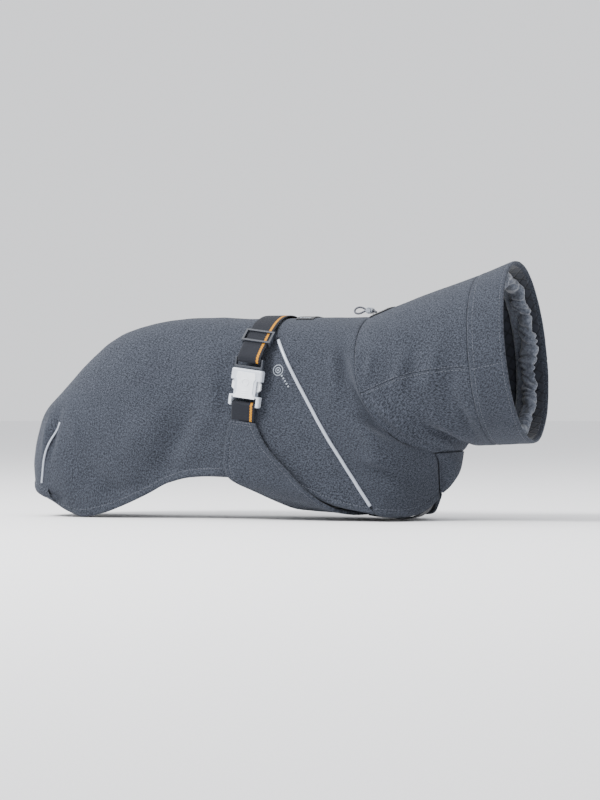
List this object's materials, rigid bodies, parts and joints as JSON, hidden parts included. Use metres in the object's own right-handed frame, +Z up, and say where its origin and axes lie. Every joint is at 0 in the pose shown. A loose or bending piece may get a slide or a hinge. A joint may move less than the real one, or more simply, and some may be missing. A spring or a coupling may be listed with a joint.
{
  "type": "dog coat",
  "caption": "Winter coat for a dog with a tall collar, a belly wrap and a webbing strap with a side-release buckle on each flank.",
  "frame": {"origin": "on the surface that the coat stands on, at the middle of its box", "axes": "+X to the head, +Y to the dog's left, +Z up"},
  "size_m": [0.5329, 0.156, 0.257],
  "materials": {
    "shell": "woven melange",
    "lining": "matte",
    "fleece": "brushed",
    "webbing": "woven",
    "white_plastic": "satin",
    "grey_plastic": "satin",
    "clear_plastic": "gloss",
    "piping": "reflective",
    "label": "woven"
  },
  "bodies": {
    "coat": {"back_panel": "shell", "back_lining": "lining", "yoke_panel": "shell", "yoke_lining": "lining", "chest_gusset": "shell", "belly_wrap": "shell", "belly_lining": "lining", "leg_bridge": "lining", "collar_upper": "shell", "collar_lower": "shell", "collar_band": "shell", "collar_lining": "lining", "inner_collar": "fleece", "left_shoulder_piping": "piping", "right_shoulder_piping": "piping", "left_rump_piping": "piping", "right_rump_piping": "piping", "spine_label": "label", "cord_patch": "label", "drawcord": "webbing", "back_strap": "webbing", "left_tab": "webbing", "right_tab": "webbing", "left_socket": "white_plastic", "right_socket": "white_plastic", "left_clip": "grey_plastic", "right_clip": "grey_plastic", "toggle_barrel": "clear_plastic"},
    "left_front_arm": {"left_arm_front": "white_plastic"},
    "left_rear_arm": {"left_arm_rear": "white_plastic"},
    "right_front_arm": {"right_arm_front": "white_plastic"},
    "right_rear_arm": {"right_arm_rear": "white_plastic"},
    "left_slider": {"left_slider": "grey_plastic"},
    "right_slider": {"right_slider": "grey_plastic"},
    "button": {"toggle_button": "clear_plastic"}
  },
  "joints": [
    {"name": "left_front_squeeze", "type": "hinge", "parent": "coat", "child": "left_front_arm", "pos_m": [0.00304, 0.0724, 0.14799], "axis": [0, 1, 0], "range_deg": [0, 6], "stiffness_Nm_per_rad": 0.05},
    {"name": "left_rear_squeeze", "type": "hinge", "parent": "coat", "child": "left_rear_arm", "pos_m": [-0.01985, 0.0724, 0.15117], "axis": [0, -1, 0], "range_deg": [0, 6], "stiffness_Nm_per_rad": 0.05},
    {"name": "right_front_squeeze", "type": "hinge", "parent": "coat", "child": "right_front_arm", "pos_m": [0.00304, -0.0724, 0.14799], "axis": [0, 1, 0], "range_deg": [0, 6], "stiffness_Nm_per_rad": 0.05},
    {"name": "right_rear_squeeze", "type": "hinge", "parent": "coat", "child": "right_rear_arm", "pos_m": [-0.01985, -0.0724, 0.15117], "axis": [0, -1, 0], "range_deg": [0, 6], "stiffness_Nm_per_rad": 0.05},
    {"name": "left_slider_shift", "type": "slide", "parent": "coat", "child": "left_slider", "axis": [0.0928, -0.7374, 0.669], "range_m": [-0.004, 0.004]},
    {"name": "right_slider_shift", "type": "slide", "parent": "coat", "child": "right_slider", "axis": [0.0928, 0.7374, 0.669], "range_m": [-0.004, 0.004]},
    {"name": "button_press", "type": "slide", "parent": "coat", "child": "button", "axis": [0, 1, 0], "range_m": [0, 0.0012], "stiffness_N_per_m": 300}
  ],
  "couplings": [
    {"joint": "left_rear_squeeze", "follows": "left_front_squeeze", "ratio": 1},
    {"joint": "right_rear_squeeze", "follows": "right_front_squeeze", "ratio": 1}
  ]
}
